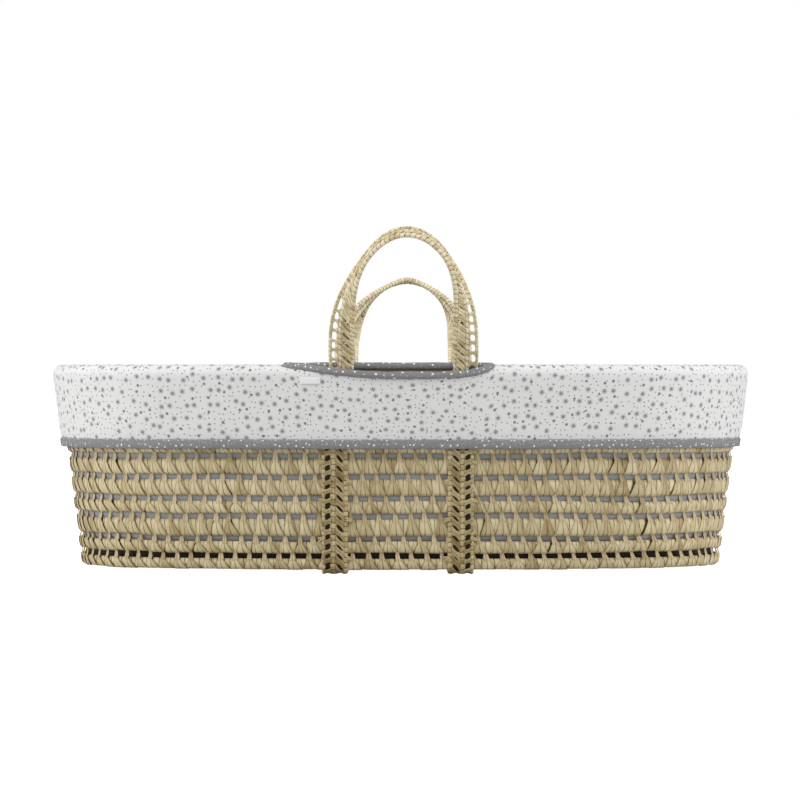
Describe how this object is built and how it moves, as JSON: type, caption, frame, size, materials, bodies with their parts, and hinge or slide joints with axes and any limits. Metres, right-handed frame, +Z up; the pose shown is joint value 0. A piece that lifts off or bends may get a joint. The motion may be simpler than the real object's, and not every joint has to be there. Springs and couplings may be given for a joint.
{
  "type": "moses basket",
  "caption": "Oval palm-leaf Moses basket with a padded, star-printed fabric liner folded over its rim, a mattress and strap handles that arch up from slots in the rim.",
  "frame": {"origin": "middle of the woven base's underside, on the floor", "axes": "+X along the basket's length, +Y towards the rear long side, +Z up"},
  "size_m": [0.8398, 0.6296, 0.4031],
  "materials": {
    "palm_weave": "woven dried palm leaf, matt",
    "palm_cord": "wrapped palm cord, matt",
    "palm_lacing": "palm leaf lacing, matt",
    "palm_stitch": "pale palm leaf stitches",
    "star_cotton": "padded cotton with a small grey star and dot print",
    "grey_cotton": "grey cotton backing cloth",
    "dotted_binding": "grey cotton tape with white dots",
    "elastic": "flat knitted elastic",
    "label_tape": "blank woven tape",
    "mattress_cover": "quilted cotton cover",
    "foam": "open-cell foam"
  },
  "bodies": {
    "basket": {"woven_base": "palm_weave", "woven_wall": "palm_weave", "rim_coil": "palm_cord", "left_base_strap": "palm_cord", "right_base_strap": "palm_cord", "strap_stitches": "palm_stitch", "liner_skirt": "star_cotton", "hem_binding": "dotted_binding", "hem_elastic": "elastic", "liner_backing": "grey_cotton", "liner_padding": "star_cotton", "liner_floor": "star_cotton", "front_slot_binding": "dotted_binding", "rear_slot_binding": "dotted_binding", "label_tab": "label_tape", "front_left_strap_cords": "palm_cord", "front_left_strap_lacing": "palm_lacing", "front_right_strap_cords": "palm_cord", "front_right_strap_lacing": "palm_lacing", "rear_left_strap_cords": "palm_cord", "rear_left_strap_lacing": "palm_lacing", "rear_right_strap_cords": "palm_cord", "rear_right_strap_lacing": "palm_lacing"},
    "front_handle": {"front_handle_outer_cord": "palm_cord", "front_handle_middle_cord": "palm_cord", "front_handle_inner_cord": "palm_cord", "front_handle_lacing": "palm_lacing"},
    "rear_handle": {"rear_handle_outer_cord": "palm_cord", "rear_handle_middle_cord": "palm_cord", "rear_handle_inner_cord": "palm_cord", "rear_handle_lacing": "palm_lacing"},
    "mattress": {"mattress_core": "foam", "mattress_cover": "mattress_cover"}
  },
  "joints": [
    {"name": "front_handle_fold", "type": "hinge", "parent": "basket", "child": "front_handle", "pos_m": [0.0034, -0.21368, 0.248], "axis": [1, 0, 0], "range_deg": [-80, 75]},
    {"name": "rear_handle_fold", "type": "hinge", "parent": "basket", "child": "rear_handle", "pos_m": [0.0034, 0.21368, 0.248], "axis": [-1, 0, 0], "range_deg": [-108, 47]},
    {"name": "mattress_lift", "type": "slide", "parent": "basket", "child": "mattress", "axis": [0, 0, 1], "range_m": [0, 0.42]}
  ]
}
